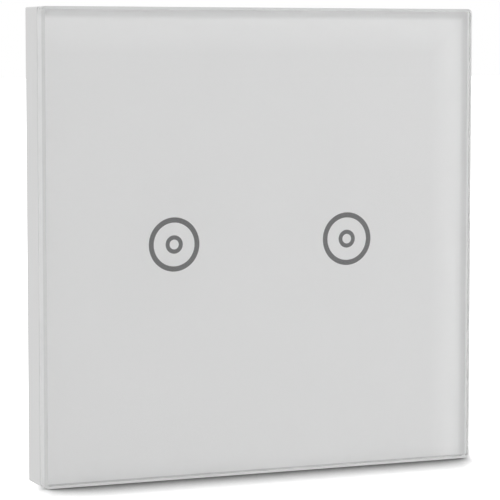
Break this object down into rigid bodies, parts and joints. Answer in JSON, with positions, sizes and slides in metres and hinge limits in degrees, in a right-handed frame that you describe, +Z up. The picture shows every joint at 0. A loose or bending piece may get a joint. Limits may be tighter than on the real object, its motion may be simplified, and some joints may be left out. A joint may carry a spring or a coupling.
{
  "type": "touch light switch",
  "caption": "Square glass-fronted touch light switch for a wall box, with touch rings, a lift-off front, relays and screw terminals in a deep rear housing.",
  "frame": {"origin": "on the wall plane, midway between the two fixing slots, at the plate's middle", "axes": "+X to the right seen from the front, +Y into the wall, +Z up"},
  "size_m": [0.086, 0.04, 0.086],
  "materials": {
    "clear_glass": "polished, with a fine ground arris",
    "white_enamel": "even white enamel seen through the glass",
    "mark_grey": "translucent grey ink",
    "white_tape": "matt white foam tape",
    "white_plastic": "fine moulded texture, satin",
    "housing_plastic": "moulded, lightly spark-eroded texture",
    "clear_plastic": "clear moulded acrylic",
    "board_green": "solder mask over fibreglass",
    "spring_steel": "bright drawn wire",
    "lamp_white": "milky lens",
    "chip_black": "moulded epoxy",
    "zinc_steel": "zinc plated, slightly blue",
    "terminal_grey": "moulded polyamide",
    "tinned_brass": "tinned, dull",
    "sleeve_black": "shrunk sleeve on a can",
    "film_yellow": "moulded box",
    "varistor_blue": "dipped coating",
    "fuse_brown": "moulded box",
    "ferrite": "sintered ferrite",
    "winding_tape": "taped winding",
    "relay_blue": "thin moulded cover",
    "relay_black": "moulded",
    "bobbin_nylon": "natural nylon",
    "copper_wire": "enamelled copper winding",
    "relay_iron": "soft iron, nickel plated",
    "contact_metal": "phosphor bronze with silver contacts"
  },
  "bodies": {
    "base": {"mounting_frame": "white_plastic", "light_guide_left": "clear_plastic", "light_guide_right": "clear_plastic", "touch_board": "board_green", "touch_spring_left": "spring_steel", "touch_spring_right": "spring_steel", "status_led_left": "lamp_white", "status_led_right": "lamp_white", "touch_controller": "chip_black", "board_header": "chip_black", "board_socket": "chip_black", "board_screws": "zinc_steel", "rear_housing": "housing_plastic", "housing_screws": "zinc_steel", "power_board": "board_green", "terminal_block": "terminal_grey", "contact_bars": "tinned_brass", "supply_capacitor": "sleeve_black", "filter_capacitor": "sleeve_black", "film_capacitor": "film_yellow", "surge_varistor": "varistor_blue", "fuse": "fuse_brown", "transformer_core": "ferrite", "transformer_winding": "winding_tape", "bridge_rectifier": "chip_black", "supply_controller": "chip_black", "relay_drivers": "chip_black", "relay_case_left": "relay_blue", "relay_base_left": "relay_black", "relay_bobbin_left": "bobbin_nylon", "relay_coil_left": "copper_wire", "relay_yoke_left": "relay_iron", "relay_contacts_left": "contact_metal", "relay_case_right": "relay_blue", "relay_base_right": "relay_black", "relay_bobbin_right": "bobbin_nylon", "relay_coil_right": "copper_wire", "relay_yoke_right": "relay_iron", "relay_contacts_right": "contact_metal"},
    "front_panel": {"glass_panel": "clear_glass", "panel_print": "white_enamel", "symbol_ring_left": "mark_grey", "symbol_ring_right": "mark_grey", "bonding_tape": "white_tape", "panel_frame": "white_plastic"},
    "armature_left": {"relay_armature_left": "relay_iron", "relay_contact_spring_left": "contact_metal"},
    "armature_right": {"relay_armature_right": "relay_iron", "relay_contact_spring_right": "contact_metal"},
    "cage_1": {"terminal_cage_1": "zinc_steel"},
    "screw_1": {"terminal_screw_1": "zinc_steel"},
    "cage_2": {"terminal_cage_2": "zinc_steel"},
    "screw_2": {"terminal_screw_2": "zinc_steel"},
    "cage_3": {"terminal_cage_3": "zinc_steel"},
    "screw_3": {"terminal_screw_3": "zinc_steel"},
    "cage_4": {"terminal_cage_4": "zinc_steel"},
    "screw_4": {"terminal_screw_4": "zinc_steel"}
  },
  "joints": [
    {"name": "front_panel_pull", "type": "slide", "parent": "base", "child": "front_panel", "axis": [0, -1, 0], "range_m": [0, 0.025]},
    {"name": "terminal_screw_1_turn", "type": "hinge", "parent": "base", "child": "screw_1", "pos_m": [-0.012, 0.026, -0.02055], "axis": [0, -1, 0], "range_deg": [0, 1800]},
    {"name": "terminal_cage_1_lift", "type": "slide", "parent": "base", "child": "cage_1", "axis": [0, 1, 0], "range_m": [0, 0.003]},
    {"name": "terminal_screw_2_turn", "type": "hinge", "parent": "base", "child": "screw_2", "pos_m": [-0.004, 0.026, -0.02055], "axis": [0, -1, 0], "range_deg": [0, 1800]},
    {"name": "terminal_cage_2_lift", "type": "slide", "parent": "base", "child": "cage_2", "axis": [0, 1, 0], "range_m": [0, 0.003]},
    {"name": "terminal_screw_3_turn", "type": "hinge", "parent": "base", "child": "screw_3", "pos_m": [0.004, 0.026, -0.02055], "axis": [0, -1, 0], "range_deg": [0, 1800]},
    {"name": "terminal_cage_3_lift", "type": "slide", "parent": "base", "child": "cage_3", "axis": [0, 1, 0], "range_m": [0, 0.003]},
    {"name": "terminal_screw_4_turn", "type": "hinge", "parent": "base", "child": "screw_4", "pos_m": [0.012, 0.026, -0.02055], "axis": [0, -1, 0], "range_deg": [0, 1800]},
    {"name": "terminal_cage_4_lift", "type": "slide", "parent": "base", "child": "cage_4", "axis": [0, 1, 0], "range_m": [0, 0.003]},
    {"name": "relay_armature_left_pull_in", "type": "hinge", "parent": "base", "child": "armature_left", "pos_m": [-0.012, 0.009, 0.00105], "axis": [-1, 0, 0], "range_deg": [0, 4], "stiffness_Nm_per_rad": 0.005, "springref_deg": -11.46},
    {"name": "relay_armature_right_pull_in", "type": "hinge", "parent": "base", "child": "armature_right", "pos_m": [0.012, 0.009, 0.00105], "axis": [-1, 0, 0], "range_deg": [0, 4], "stiffness_Nm_per_rad": 0.005, "springref_deg": -11.46}
  ],
  "couplings": [
    {"joint": "terminal_screw_1_turn", "follows": "terminal_cage_1_lift", "rad_per_m": 10472},
    {"joint": "terminal_screw_2_turn", "follows": "terminal_cage_2_lift", "rad_per_m": 10472},
    {"joint": "terminal_screw_3_turn", "follows": "terminal_cage_3_lift", "rad_per_m": 10472},
    {"joint": "terminal_screw_4_turn", "follows": "terminal_cage_4_lift", "rad_per_m": 10472}
  ]
}
